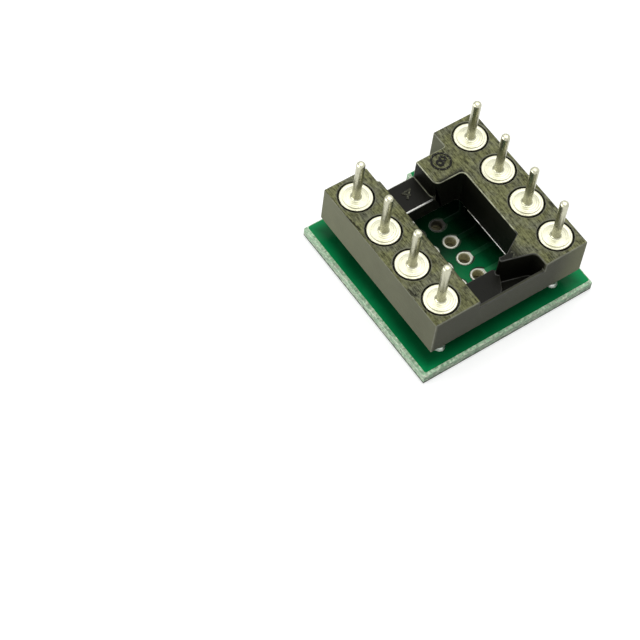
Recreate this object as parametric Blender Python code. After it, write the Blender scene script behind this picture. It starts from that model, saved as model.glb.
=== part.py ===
"""IC socket adapter: a small circuit board with eight turned pins held in a moulded socket frame.

The board lies with its contact fingers down and the pins point up. X runs across the two pin rows,
+Y is the notched end of the board, Z = 0 is the board's finger face. Sizes are in millimetres and
become metres where the meshes are made.
"""

import math

import bmesh
import bpy
from mathutils import Vector

MM = 0.001

# Pin grid
PINS_PER_ROW = 4
PIN_PITCH = 2.54
ROW_SPACING = 7.62

# Moulded frame
RAIL_OUTER_MARGIN = 1.19  # from the pins' line to the frame's long side
RAIL_INNER_MARGIN = 1.69  # from the pins' line to the window
RAIL_END_MARGIN = 1.27  # from the last pin to the frame's end
RAIL_END_RELIEF = 0.12  # how much thinner the rails are beyond the crossbars
FRAME_HEIGHT = 2.54
STAND_OFF = 1.26  # from the board to the frame's underside
FRAME_SHIFT_X = -0.075  # from the board's middle to the frame's

# Crossbar at the notched end: a full-height block beside a lower shelf
FAR_BAR_SETBACK = 1.08
FAR_BAR_WIDTH = 1.85
FAR_BLOCK_LENGTH = 1.84
FAR_BLOCK_ROUNDING = 0.4
FAR_CORNER_ROUNDING = 0.3
SHELF_DEPTH = 1.3  # from the frame's top down to both shelves
SHELF_EDGE_ROUNDING = 0.12

# Crossbar at the other end: a ridge beside a shelf, a pocket behind the ridge and a thin end wall
END_WALL_THICKNESS = 0.21
END_WALL_DROP = 0.6
POCKET_WIDTH = 0.71
POCKET_ROUNDING = 0.42
POCKET_SLANT = 0.95  # how far the pocket's slanted end runs along X, past the ridge's tip
POCKET_BEND_SLANT = 0.44  # the part of it before the slant's bend
POCKET_BEND_WIDTH = 0.42  # from the end wall to the slant's bend
POCKET_BEND_ROUNDING = 0.2
POCKET_FLOOR = 0.5
RIDGE_ROOT_THICKNESS = 0.8
RIDGE_TIP_THICKNESS = 0.3
RIDGE_STRAIGHT = 0.38  # from the shelf's step to the gusset
GUSSET_LENGTH = 1.25
GUSSET_WIDTH = 0.72
GUSSET_ROUNDING = 0.3
SHELF_OVERHANG = 0.21
STEP_ROUNDING = 0.08
WINDOW_ROUNDING = 0.12

# Turned pins
TAIL_RADIUS = 0.245
TAIL_LENGTH = 3.0
TAIL_TIP_HEIGHT = 0.16
TAIL_TIP_RADIUS = 0.19
DISC_RADIUS = 0.925
DISC_THICKNESS = 0.42
DISC_CHAMFER = 0.05
ROOT_FILLET = 0.11
BARREL_RADIUS = 0.66
BARREL_DROP = 0.2  # below the frame's underside
STEM_RADIUS = 0.38
RING_GAP = 0.1  # open ring between disc and frame
FIT_GAP = 0.01  # between pieces that touch

# Circuit board
BOARD_MARGIN_X = 0.675  # mean of both sides
BOARD_MARGIN_Y = 0.52
BOARD_THICKNESS = 0.6
NOTCH_RADIUS = 1.3
FOIL_THICKNESS = 0.035

# Plated holes
VIAS_PER_COLUMN = 4
VIA_PITCH = 1.27
VIA_COLUMN_SPACING = 1.27
VIA_BORE_RADIUS = 0.32
VIA_PLATING = 0.03
VIA_UPPER_RING_RADIUS = 0.44
VIA_LOWER_RING_RADIUS = 0.525

# Oval lands on the upper face, with their traces to the plated holes
LAND_HALF_WIDTH = 0.54
LAND_HALF_LENGTH = 1.0
LAND_TRACE_WIDTH = 0.3
LAND_TRACE_COVER = 0.25  # how far under the rail the trace turns towards its land

# Solder round each pin's foot
SOLDER_HALF_WIDTH = 0.51
SOLDER_HALF_LENGTH = 0.98
SOLDER_FOOT_INSET = 0.04
SOLDER_HEIGHT = 0.62
SOLDER_CREST = 0.06  # wall at its top
SOLDER_SHOULDER_INSET = 0.08
SOLDER_SHOULDER_HEIGHT = 0.38
SOLDER_BULGE_HEIGHT = 0.18

# Contact fingers on the lower face, with their traces
FINGER_PITCH = 0.65
FINGER_WIDTH = 0.35
FINGER_LENGTH = 3.23
FINGER_INNER_X = 1.37
FINGER_TRACE_WIDTH = 0.15
FINGER_NECK = 0.2

# Facets
PIN_SIDES = 20
VIA_SIDES = 16
ROUND_END_STEPS = 8
NOTCH_STEPS = 24
FILLET_STEPS = 8
CUT_OVERRUN = 0.5

# Places worked out from the sizes
PIN_ROW_X = ROW_SPACING / 2
PIN_SPAN = (PINS_PER_ROW - 1) * PIN_PITCH
FRAME_SIDE_X = PIN_ROW_X + RAIL_OUTER_MARGIN
WINDOW_X = PIN_ROW_X - RAIL_INNER_MARGIN
FRAME_END_Y = PIN_SPAN / 2 + RAIL_END_MARGIN
FRAME_BOTTOM_Z = BOARD_THICKNESS + STAND_OFF
FRAME_TOP_Z = FRAME_BOTTOM_Z + FRAME_HEIGHT
SHELF_Z = FRAME_TOP_Z - SHELF_DEPTH
BOARD_SIDE_X = FRAME_SIDE_X + BOARD_MARGIN_X
BOARD_END_Y = FRAME_END_Y + BOARD_MARGIN_Y
VIA_COLUMN_X = VIA_COLUMN_SPACING / 2
VIA_BARREL_RADIUS = VIA_BORE_RADIUS + VIA_PLATING
INLAY_DEPTH = FOIL_THICKNESS + FIT_GAP

FAR_BAR_OUTER_Y = FRAME_END_Y - FAR_BAR_SETBACK
FAR_BAR_INNER_Y = FAR_BAR_OUTER_Y - FAR_BAR_WIDTH
FAR_BLOCK_X = WINDOW_X - FAR_BLOCK_LENGTH

POCKET_OUTER_Y = -FRAME_END_Y + END_WALL_THICKNESS
RIDGE_ROOT_Y = POCKET_OUTER_Y + POCKET_WIDTH
RIDGE_FRONT_Y = RIDGE_ROOT_Y + RIDGE_ROOT_THICKNESS
RIDGE_TIP_BACK_Y = RIDGE_FRONT_Y - RIDGE_TIP_THICKNESS
NEAR_SHELF_Y = RIDGE_FRONT_Y + SHELF_OVERHANG
GUSSET_X = WINDOW_X - GUSSET_LENGTH
GUSSET_Y = RIDGE_FRONT_Y + GUSSET_WIDTH
STEP_X = GUSSET_X - RIDGE_STRAIGHT
RIDGE_TIP_X = STEP_X - SHELF_OVERHANG
RAIL_END_X = WINDOW_X + RAIL_END_RELIEF


def clear_scene():
    for item in list(bpy.data.objects):
        bpy.data.objects.remove(item, do_unlink=True)


def material(name, colour, roughness, metallic):
    made = bpy.data.materials.new(name)
    made.use_nodes = True
    shader = made.node_tree.nodes["Principled BSDF"]
    shader.inputs["Base Color"].default_value = (*colour, 1.0)
    shader.inputs["Roughness"].default_value = roughness
    shader.inputs["Metallic"].default_value = metallic
    made.diffuse_color = (*colour, 1.0)
    return made


def new_object(name, mesh, surface, place=(0.0, 0.0, 0.0)):
    made = bpy.data.objects.new(name, mesh)
    made.location = Vector(place) * MM
    bpy.context.scene.collection.objects.link(made)
    if surface and not mesh.materials:
        mesh.materials.append(surface)
    return made


def grid_places(columns_x, count, pitch):
    """Places in two columns, numbered up the +X column and then down the -X column."""
    span = (count - 1) * pitch
    rising = [(columns_x, -span / 2 + i * pitch) for i in range(count)]
    return rising + [(-x, y) for x, y in reversed(rising)]


def arc(centre, radius, start, end, steps, half_length=None):
    """Points along an arc, or an oval's arc, with angles in degrees and both ends included."""
    turns = [math.radians(start + (end - start) * i / steps) for i in range(steps + 1)]
    rise = half_length or radius
    return [(centre[0] + radius * math.cos(t), centre[1] + rise * math.sin(t)) for t in turns]


def rounded(corners, steps=FILLET_STEPS):
    """An outline from corners (x, y, radius), each rounded by an arc that touches both its sides."""
    outline = []
    for i, (x, y, radius) in enumerate(corners):
        corner = Vector((x, y))
        if radius <= 0:
            outline.append((x, y))
            continue
        before = (Vector(corners[i - 1][:2]) - corner).normalized()
        after = (Vector(corners[(i + 1) % len(corners)][:2]) - corner).normalized()
        half = before.angle(after) / 2
        centre = corner + (before + after).normalized() * radius / math.sin(half)
        start = corner + before * radius / math.tan(half) - centre
        sweep = start.angle_signed(corner + after * radius / math.tan(half) - centre)
        for step in range(steps + 1):
            turn = -sweep * step / steps
            outline.append(
                (
                    centre.x + start.x * math.cos(turn) - start.y * math.sin(turn),
                    centre.y + start.x * math.sin(turn) + start.y * math.cos(turn),
                )
            )
    return outline


def add_prism(mesh, outline, low, high, along_x=False):
    """Adds a closed prism over a counter-clockwise outline in XY, or over one in YZ that runs along X."""
    if along_x:
        lower = [mesh.verts.new(Vector((low, y, z)) * MM) for y, z in outline]
        upper = [mesh.verts.new(Vector((high, y, z)) * MM) for y, z in outline]
    else:
        lower = [mesh.verts.new(Vector((x, y, low)) * MM) for x, y in outline]
        upper = [mesh.verts.new(Vector((x, y, high)) * MM) for x, y in outline]
    mesh.faces.new(list(reversed(lower)))
    mesh.faces.new(upper)
    for i in range(len(outline)):
        j = (i + 1) % len(outline)
        mesh.faces.new((lower[i], lower[j], upper[j], upper[i]))


def add_turned(mesh, profile, sides, centre=(0.0, 0.0)):
    """Adds a turned solid. Its profile of (radius, z) runs down its outer side, and a tube's runs back up.

    A station with a third value is oval, and that value is its half length along Y.
    """
    closed = profile[0][0] > 0 and profile[-1][0] > 0
    rings = []
    for radius, z, *half_length in profile:
        if radius > 0:
            ring = arc(centre, radius, 0, 360 * (1 - 1 / sides), sides - 1, *half_length)
        else:
            ring = [centre]
        rings.append([mesh.verts.new(Vector((x, y, z)) * MM) for x, y in ring])
    pairs = list(zip(rings, rings[1:]))
    if closed:
        pairs.append((rings[-1], rings[0]))
    for above, below in pairs:
        for i in range(sides):
            j = (i + 1) % sides
            if len(above) == 1:
                mesh.faces.new((above[0], below[i], below[j]))
            elif len(below) == 1:
                mesh.faces.new((above[i], below[0], above[j]))
            else:
                mesh.faces.new((above[i], below[i], below[j], above[j]))


def finished_mesh(name, mesh, smooth_angle=None):
    data = bpy.data.meshes.new(name)
    mesh.to_mesh(data)
    mesh.free()
    if smooth_angle:
        data.shade_smooth()
        data.set_sharp_from_angle(angle=math.radians(smooth_angle))
    return data


def prism_mesh(name, outlines, low, high):
    mesh = bmesh.new()
    for outline in outlines:
        add_prism(mesh, outline, low, high)
    return finished_mesh(name, mesh)


def turned_mesh(name, profile, sides):
    mesh = bmesh.new()
    add_turned(mesh, profile, sides)
    return finished_mesh(name, mesh, smooth_angle=40)


def cut(target, name, cutter_mesh):
    """Takes a hidden cutter's shape out of the target, at the target's own place."""
    cutter = new_object(name, cutter_mesh, None)
    cutter.location = target.location
    cutter.hide_render = True
    cutter.display_type = "WIRE"
    modifier = target.modifiers.new(name, "BOOLEAN")
    modifier.operation = "DIFFERENCE"
    modifier.solver = "EXACT"
    modifier.object = cutter


def ribbon(path):
    """A band's outline from (x, y, half width) stations, with mitred sides."""
    left, right = [], []
    for i, (x, y, half) in enumerate(path):
        here = Vector((x, y))
        along = []
        if i > 0:
            along.append((here - Vector(path[i - 1][:2])).normalized())
        if i < len(path) - 1:
            along.append((Vector(path[i + 1][:2]) - here).normalized())
        middle = sum(along, Vector((0.0, 0.0))).normalized()
        side = Vector((-middle.y, middle.x)) * half / middle.dot(along[0])
        left.append((x + side.x, y + side.y))
        right.append((x - side.x, y - side.y))
    return left, right


def toward(start, goal, distance):
    """The point at a distance from the start, on the way to the goal."""
    step = (Vector(goal) - Vector(start)).normalized() * distance
    return start[0] + step.x, start[1] + step.y


def counter_clockwise(outline):
    area = sum(a[0] * b[1] - b[0] * a[1] for a, b in zip(outline, outline[1:] + outline[:1]))
    return outline if area > 0 else list(reversed(outline))


def oval_crossing(half_width, half_length, start, heading):
    """The oval's own angle, in degrees, where a line from inside it crosses it."""
    px, py = start[0] / half_width, start[1] / half_length
    dx, dy = heading[0] / half_width, heading[1] / half_length
    a, b, c = dx * dx + dy * dy, px * dx + py * dy, px * px + py * py - 1
    run = (-b + math.sqrt(b * b - a * c)) / a
    return math.degrees(math.atan2(py + run * dy, px + run * dx))


def land_outline(pin, via, grow, reach):
    """An oval land and its trace, which stops at a distance from the plated hole's axis."""
    side = math.copysign(1.0, pin[0])
    half_width, half_length = LAND_HALF_WIDTH + grow, LAND_HALF_LENGTH + grow
    half = LAND_TRACE_WIDTH / 2 + grow
    bend = (side * (WINDOW_X + LAND_TRACE_COVER), via[1])
    leave = (Vector(bend) - Vector(pin)).normalized()
    aside = Vector((-leave.y, leave.x)) * half
    start = oval_crossing(half_width, half_length, aside, leave)
    end = oval_crossing(half_width, half_length, -aside, leave)
    end += 360 if end < start else 0
    left, right = ribbon([(*pin, half), (*bend, half), (via[0] + side * reach, via[1], half)])
    oval = arc(pin, half_width, start, end, PIN_SIDES, half_length)
    return counter_clockwise(oval + right[1:] + list(reversed(left[1:])))


def finger_outline(side, y, via, grow, reach):
    """A contact finger with a round outer end and a trace that stops short of the plated hole's axis."""
    half = FINGER_WIDTH / 2
    neck = (side * FINGER_INNER_X, y)
    stop = toward(via, neck, reach)
    wide = half + grow
    narrow = FINGER_TRACE_WIDTH / 2 + grow
    tip_x = FINGER_INNER_X + FINGER_LENGTH - half
    path = [
        (side * tip_x, y, wide),
        (side * (FINGER_INNER_X + FINGER_NECK), y, wide),
        (*neck, narrow),
        (*stop, narrow),
    ]
    left, right = ribbon(path)
    facing = 0 if side > 0 else 180
    tip = arc((side * tip_x, y), wide, facing - 90, facing + 90, ROUND_END_STEPS)
    return counter_clockwise(tip[1:-1] + right + list(reversed(left)))


def land_outlines(grow=0.0):
    reach = VIA_UPPER_RING_RADIUS + (-grow if grow else FIT_GAP)
    return [land_outline(pin, via, grow, reach) for pin, via in zip(PIN_PLACES, VIA_PLACES)]


def finger_outlines(grow=0.0):
    reach = VIA_LOWER_RING_RADIUS + (-grow if grow else FIT_GAP)
    outlines = []
    for i, via in enumerate(VIA_PLACES):
        side = math.copysign(1.0, via[0])
        rank = i if i < VIAS_PER_COLUMN else 2 * VIAS_PER_COLUMN - 1 - i
        y = (rank - (VIAS_PER_COLUMN - 1) / 2) * FINGER_PITCH
        outlines.append(finger_outline(side, y, via, grow, reach))
    return outlines


def board_outline():
    notch = arc((0.0, BOARD_END_Y), NOTCH_RADIUS, 0, -180, NOTCH_STEPS)
    corners = [
        (-BOARD_SIDE_X, -BOARD_END_Y),
        (BOARD_SIDE_X, -BOARD_END_Y),
        (BOARD_SIDE_X, BOARD_END_Y),
    ]
    return corners + notch + [(-BOARD_SIDE_X, BOARD_END_Y)]


def via_cutter_profile():
    barrel = VIA_BARREL_RADIUS + FIT_GAP
    upper = VIA_UPPER_RING_RADIUS + FIT_GAP
    lower = VIA_LOWER_RING_RADIUS + FIT_GAP
    above = BOARD_THICKNESS + CUT_OVERRUN
    return [
        (0, above),
        (upper, above),
        (upper, BOARD_THICKNESS - INLAY_DEPTH),
        (barrel, BOARD_THICKNESS - INLAY_DEPTH),
        (barrel, INLAY_DEPTH),
        (lower, INLAY_DEPTH),
        (lower, -CUT_OVERRUN),
        (0, -CUT_OVERRUN),
    ]


def make_board(surface):
    mesh = prism_mesh("board", [board_outline()], 0.0, BOARD_THICKNESS)
    board = new_object("board", mesh, surface)
    holes = bmesh.new()
    for place in VIA_PLACES:
        add_turned(holes, via_cutter_profile(), VIA_SIDES, place)
    cut(board, "via_cutter", finished_mesh("via_cutter", holes))
    upper = (BOARD_THICKNESS - INLAY_DEPTH, BOARD_THICKNESS + CUT_OVERRUN)
    cut(board, "land_cutter", prism_mesh("land_cutter", land_outlines(FIT_GAP), *upper))
    lower = (-CUT_OVERRUN, INLAY_DEPTH)
    cut(board, "finger_cutter", prism_mesh("finger_cutter", finger_outlines(FIT_GAP), *lower))


def make_foils(surface):
    """The lands on the upper face and the fingers on the lower face, one piece of foil each."""
    for i, outline in enumerate(land_outlines()):
        mesh = prism_mesh("land", [outline], BOARD_THICKNESS - FOIL_THICKNESS, BOARD_THICKNESS)
        new_object(f"land_{i + 1}", mesh, surface)
    for i, outline in enumerate(finger_outlines()):
        new_object(f"finger_{i + 1}", prism_mesh("finger", [outline], 0.0, FOIL_THICKNESS), surface)


def make_vias(surface):
    profile = [
        (VIA_UPPER_RING_RADIUS, BOARD_THICKNESS),
        (VIA_UPPER_RING_RADIUS, BOARD_THICKNESS - FOIL_THICKNESS),
        (VIA_BARREL_RADIUS, BOARD_THICKNESS - FOIL_THICKNESS),
        (VIA_BARREL_RADIUS, FOIL_THICKNESS),
        (VIA_LOWER_RING_RADIUS, FOIL_THICKNESS),
        (VIA_LOWER_RING_RADIUS, 0.0),
        (VIA_BORE_RADIUS, 0.0),
        (VIA_BORE_RADIUS, BOARD_THICKNESS),
    ]
    mesh = turned_mesh("via", profile, VIA_SIDES)
    for i, (x, y) in enumerate(VIA_PLACES):
        new_object(f"via_{i + 1}", mesh, surface, (x, y, 0.0))


def window_outline():
    """The open window: the near shelf, the ridge and its gusset, then the far crossbar."""
    return rounded(
        [
            (-WINDOW_X, NEAR_SHELF_Y, WINDOW_ROUNDING),
            (RIDGE_TIP_X, NEAR_SHELF_Y, STEP_ROUNDING),
            (STEP_X, RIDGE_FRONT_Y, STEP_ROUNDING),
            (GUSSET_X, RIDGE_FRONT_Y, GUSSET_ROUNDING),
            (WINDOW_X, GUSSET_Y, WINDOW_ROUNDING),
            (WINDOW_X, FAR_BAR_INNER_Y, FAR_CORNER_ROUNDING),
            (-WINDOW_X, FAR_BAR_INNER_Y, WINDOW_ROUNDING),
        ]
    )


def open_end_outline():
    """The space between the rails' ends, behind the far crossbar."""
    beyond_y = FRAME_END_Y + CUT_OVERRUN
    return rounded(
        [
            (-RAIL_END_X, FAR_BAR_OUTER_Y, WINDOW_ROUNDING),
            (RAIL_END_X, FAR_BAR_OUTER_Y, WINDOW_ROUNDING),
            (RAIL_END_X, beyond_y, 0),
            (-RAIL_END_X, beyond_y, 0),
        ]
    )


def far_shelf_outline():
    """What is open above the far shelf, up to the block and its rounded corner."""
    before_y = FAR_BAR_INNER_Y - CUT_OVERRUN
    behind_y = FAR_BAR_OUTER_Y + CUT_OVERRUN / 2
    corner = FAR_BLOCK_ROUNDING
    outline = [(-WINDOW_X, behind_y), (-WINDOW_X, before_y), (FAR_BLOCK_X + corner, before_y)]
    outline += arc((FAR_BLOCK_X + corner, FAR_BAR_INNER_Y + corner), corner, 270, 180, FILLET_STEPS)
    return outline + [(FAR_BLOCK_X, behind_y)]


def shelf_edge_section():
    """What the rounding takes off the far shelf's upper front edge, in the YZ plane."""
    edge = SHELF_EDGE_ROUNDING
    front, above = FAR_BAR_INNER_Y - CUT_OVERRUN, SHELF_Z + edge / 2
    section = [(front, SHELF_Z - edge)]
    section += arc((FAR_BAR_INNER_Y + edge, SHELF_Z - edge), edge, 180, 90, FILLET_STEPS)
    return section + [(FAR_BAR_INNER_Y + edge, above), (front, above)]


def near_shelf_outline():
    """What is open above the near shelf, up to the ridge's round tip."""
    half = RIDGE_TIP_THICKNESS / 2
    tip_x = RIDGE_TIP_X + half
    outline = [(-WINDOW_X, POCKET_OUTER_Y), (tip_x, POCKET_OUTER_Y)]
    outline += arc((tip_x, RIDGE_TIP_BACK_Y + half), half, 270, 90, 2 * FILLET_STEPS)
    beyond_y = NEAR_SHELF_Y + CUT_OVERRUN
    return outline + [(tip_x, beyond_y), (-WINDOW_X, beyond_y)]


def pocket_outline():
    """The deep pocket between the ridge and the end wall, with its bent slanting end."""
    tip_x = RIDGE_TIP_X + RIDGE_TIP_THICKNESS / 2
    return rounded(
        [
            (tip_x - POCKET_SLANT, POCKET_OUTER_Y, 0),
            (RAIL_END_X, POCKET_OUTER_Y, 0),
            (RAIL_END_X, RIDGE_ROOT_Y, POCKET_ROUNDING),
            (tip_x, RIDGE_TIP_BACK_Y, 0),
            (tip_x - POCKET_BEND_SLANT, POCKET_OUTER_Y + POCKET_BEND_WIDTH, POCKET_BEND_ROUNDING),
        ]
    )


def pin_hole_profile():
    mouth = DISC_RADIUS + RING_GAP
    bore = BARREL_RADIUS + FIT_GAP
    seat = FRAME_TOP_Z - DISC_THICKNESS - FIT_GAP
    return [
        (0, FRAME_TOP_Z + CUT_OVERRUN),
        (mouth, FRAME_TOP_Z + CUT_OVERRUN),
        (mouth, seat),
        (bore, seat),
        (bore, FRAME_BOTTOM_Z - CUT_OVERRUN),
        (0, FRAME_BOTTOM_Z - CUT_OVERRUN),
    ]


def make_frame(surface):
    """The socket frame: two rails and two crossbars round an open window, with stepped pin holes."""
    sides = [
        (-FRAME_SIDE_X, -FRAME_END_Y),
        (FRAME_SIDE_X, -FRAME_END_Y),
        (FRAME_SIDE_X, FRAME_END_Y),
        (-FRAME_SIDE_X, FRAME_END_Y),
    ]
    body = prism_mesh("socket_frame", [sides], FRAME_BOTTOM_Z, FRAME_TOP_Z)
    frame = new_object("socket_frame", body, surface, (FRAME_SHIFT_X, 0.0, 0.0))
    below = FRAME_BOTTOM_Z - CUT_OVERRUN
    above = FRAME_TOP_Z + CUT_OVERRUN
    wall_top = [
        (-WINDOW_X, -FRAME_END_Y - CUT_OVERRUN),
        (RAIL_END_X, -FRAME_END_Y - CUT_OVERRUN),
        (RAIL_END_X, POCKET_OUTER_Y),
        (-WINDOW_X, POCKET_OUTER_Y),
    ]
    upright_cuts = (
        ("window_cutter", window_outline(), below),
        ("open_end_cutter", open_end_outline(), below),
        ("far_shelf_cutter", far_shelf_outline(), SHELF_Z),
        ("near_shelf_cutter", near_shelf_outline(), SHELF_Z),
        ("pocket_cutter", pocket_outline(), FRAME_BOTTOM_Z + POCKET_FLOOR),
        ("end_wall_cutter", wall_top, FRAME_TOP_Z - END_WALL_DROP),
    )
    for name, outline, low in upright_cuts:
        cut(frame, name, prism_mesh(name, [outline], low, above))

    edge = bmesh.new()
    edge_end = FAR_BLOCK_X + SHELF_EDGE_ROUNDING
    add_prism(edge, shelf_edge_section(), -WINDOW_X, edge_end, along_x=True)
    cut(frame, "shelf_edge_cutter", finished_mesh("shelf_edge_cutter", edge))

    holes = bmesh.new()
    for place in PIN_GRID:
        add_turned(holes, pin_hole_profile(), PIN_SIDES, place)
    cut(frame, "pin_hole_cutter", finished_mesh("pin_hole_cutter", holes))


def pin_profile():
    """From the tail's tip, over the disc, down the barrel to the stem's foot."""
    tip = FRAME_TOP_Z + TAIL_LENGTH
    disc_low = FRAME_TOP_Z - DISC_THICKNESS
    barrel_low = FRAME_BOTTOM_Z - BARREL_DROP
    return [
        (0, tip),
        (TAIL_TIP_RADIUS, tip - TAIL_TIP_HEIGHT / 3),
        (TAIL_RADIUS, tip - TAIL_TIP_HEIGHT),
        (TAIL_RADIUS, FRAME_TOP_Z + ROOT_FILLET),
        (TAIL_RADIUS + ROOT_FILLET, FRAME_TOP_Z),
        (DISC_RADIUS - DISC_CHAMFER, FRAME_TOP_Z),
        (DISC_RADIUS, FRAME_TOP_Z - DISC_CHAMFER),
        (DISC_RADIUS, disc_low),
        (BARREL_RADIUS, disc_low),
        (BARREL_RADIUS, barrel_low),
        (STEM_RADIUS, barrel_low),
        (STEM_RADIUS, BOARD_THICKNESS + FIT_GAP),
        (0, BOARD_THICKNESS + FIT_GAP),
    ]


def make_pins(surface):
    mesh = turned_mesh("pin", pin_profile(), PIN_SIDES)
    for i, (x, y) in enumerate(PIN_PLACES):
        new_object(f"pin_{i + 1}", mesh, surface, (x, y, 0.0))


def make_solder(surface):
    """An oval mound of solder round each stem, on its land, with a bulging rim."""
    inner = STEM_RADIUS + FIT_GAP
    low = BOARD_THICKNESS + FIT_GAP

    def oval(inset, height):
        return SOLDER_HALF_WIDTH - inset, low + height, SOLDER_HALF_LENGTH - inset

    profile = [
        (inner, low + SOLDER_HEIGHT),
        (inner + SOLDER_CREST, low + SOLDER_HEIGHT),
        oval(SOLDER_SHOULDER_INSET, SOLDER_SHOULDER_HEIGHT),
        oval(0.0, SOLDER_BULGE_HEIGHT),
        oval(SOLDER_FOOT_INSET, 0.0),
        (inner, low),
    ]
    mesh = turned_mesh("solder", profile, PIN_SIDES)
    for i, (x, y) in enumerate(PIN_PLACES):
        new_object(f"solder_{i + 1}", mesh, surface, (x, y, 0.0))


PIN_GRID = grid_places(PIN_ROW_X, PINS_PER_ROW, PIN_PITCH)
PIN_PLACES = [(x + FRAME_SHIFT_X, y) for x, y in PIN_GRID]
VIA_PLACES = grid_places(VIA_COLUMN_X, VIAS_PER_COLUMN, VIA_PITCH)


def main():
    clear_scene()
    make_board(material("green_board", (0.02, 0.27, 0.1), 0.35, 0.0))
    make_foils(material("pale_foil", (0.78, 0.74, 0.55), 0.35, 1.0))
    make_vias(material("via_plating", (0.8, 0.78, 0.62), 0.35, 1.0))
    make_frame(material("black_plastic", (0.035, 0.035, 0.028), 0.6, 0.0))
    make_pins(material("tinned_metal", (0.62, 0.6, 0.52), 0.35, 1.0))
    make_solder(material("solder", (0.75, 0.75, 0.73), 0.25, 1.0))


main()
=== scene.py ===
"""Looks for a socket adapter: a green circuit board, a moulded socket frame and eight turned pins.

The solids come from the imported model, in metres. Lengths in the constants and helpers below are in
millimetres, and the finished meshes are scaled to metres with their place in them.
"""

import math

import bmesh
import bpy
from bpy.props import FloatProperty, FloatVectorProperty, IntProperty, PointerProperty
from mathutils import Matrix, Vector


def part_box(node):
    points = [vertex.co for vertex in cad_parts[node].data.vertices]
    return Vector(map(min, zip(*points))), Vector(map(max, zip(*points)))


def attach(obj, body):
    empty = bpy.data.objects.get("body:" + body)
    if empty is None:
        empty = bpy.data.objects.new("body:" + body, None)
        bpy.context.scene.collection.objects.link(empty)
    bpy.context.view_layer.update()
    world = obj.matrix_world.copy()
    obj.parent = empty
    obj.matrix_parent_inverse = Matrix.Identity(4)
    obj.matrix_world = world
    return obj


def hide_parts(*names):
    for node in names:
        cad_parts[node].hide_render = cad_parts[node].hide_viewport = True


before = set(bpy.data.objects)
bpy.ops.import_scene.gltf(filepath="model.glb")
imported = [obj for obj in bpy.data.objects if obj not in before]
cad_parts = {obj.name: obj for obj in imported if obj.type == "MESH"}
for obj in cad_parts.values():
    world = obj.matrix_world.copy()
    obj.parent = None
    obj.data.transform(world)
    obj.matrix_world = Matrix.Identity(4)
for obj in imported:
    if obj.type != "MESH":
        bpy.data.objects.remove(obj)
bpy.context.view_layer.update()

bl_info = {
    "name": "Socket Adapter Looks",
    "version": (1, 0, 0),
    "blender": (4, 5, 0),
    "location": "View3D > Sidebar > Adapter",
    "description": "Dresses the solids of a small circuit-board socket adapter",
    "category": "Object",
}

MM = 0.001
PIN_COUNT = 8
PER_ROW = PIN_COUNT // 2

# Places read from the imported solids
BOARD_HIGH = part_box("board")[1] / MM
BOARD_TOP = BOARD_HIGH.z
FRAME_LOW, FRAME_HIGH = (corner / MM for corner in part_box("socket_frame"))
FRAME_TOP = FRAME_HIGH.z
FRAME_SHIFT_X = (FRAME_LOW.x + FRAME_HIGH.x) / 2
FRAME_HALF = (FRAME_HIGH - FRAME_LOW) / 2
PIN_LOW, PIN_HIGH = (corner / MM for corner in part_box("pin_1"))
PIN_ROW_X = (PIN_LOW.x + PIN_HIGH.x) / 2 - FRAME_SHIFT_X
PIN_END_Y = abs(PIN_LOW.y + PIN_HIGH.y) / 2
PIN_PITCH = 2 * PIN_END_Y / (PER_ROW - 1)
DISC_RADIUS = (PIN_HIGH.x - PIN_LOW.x) / 2
VIA_LOW, VIA_HIGH = (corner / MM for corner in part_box("via_1"))
VIA_COLUMN_X = (VIA_LOW.x + VIA_HIGH.x) / 2
VIA_END_Y = abs(VIA_LOW.y + VIA_HIGH.y) / 2
VIA_PITCH = 2 * VIA_END_Y / (PER_ROW - 1)
SOLDER_LOW, SOLDER_HIGH = (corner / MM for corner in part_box("solder_1"))

# Turned pins
TAIL_RADIUS = 0.245
TIP_ROUNDING = 0.2
TAIL_RINGS = (1.0, 2.0)  # how far below the tip
ROOT_FILLET = 0.11
DISC_THICKNESS = 0.42
DISC_EDGE = 0.05
DISC_CHAMFER = 0.02
TOOL_RING_RADIUS = 0.72
TOOL_RING_DEPTH = 0.012
TOOL_RING_HALF_WIDTH = 0.03
BARREL_RADIUS = 0.66
BARREL_DROP = 0.2
BARREL_EDGE = 0.04
STEM_RADIUS = 0.38
PIN_SIDES = 64

# Solder mounds
SOLDER_GAP = 0.005
SOLDER_CREST = 0.03
SOLDER_SKIRT = 0.13
SOLDER_RIM = 0.02
SOLDER_STEPS = 10

# Plated holes
VIA_BORE = 0.32
VIA_WALL = 0.03
UPPER_RING = 0.43
LOWER_RING = 0.525
RING_TEARDROP = 0.14  # how far the upper rings are drawn out towards their traces
RING_CROWN = 0.035
RING_EDGE = 0.01
RING_SHOULDER = 0.05
RING_ROOT = 0.03  # how deep the rings reach into the board
TURNED_SIDES = 48

# Board, masks, traces and fingers
BOARD_CORNER = 0.12
NOTCH_RADIUS = 1.3
NOTCH_STEPS = 48
MASK_SHIFT = 0.08  # how far the upper mask lies off the board's middle, along X and Y
MASK_OVERLAP = 0.02
LOWER_MASK_SETBACK = 0.04
LAND_HALF_WIDTH = 0.54
TRACE_TURN_X = 2.37
UPPER_TRACE_WIDTH = 0.34
UPPER_TRACE_BEND = 0.25
LOWER_TRACE_WIDTH = 0.19
LOWER_TRACE_BEND = 0.05
FINGER_PITCH = 0.65
FINGER_END_Y = (PER_ROW - 1) * FINGER_PITCH / 2
FINGER_WIDTH = 0.35
FINGER_LENGTH = 3.23
FINGER_INNER_X = 1.37
FINGER_ROOT = 0.005

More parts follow.
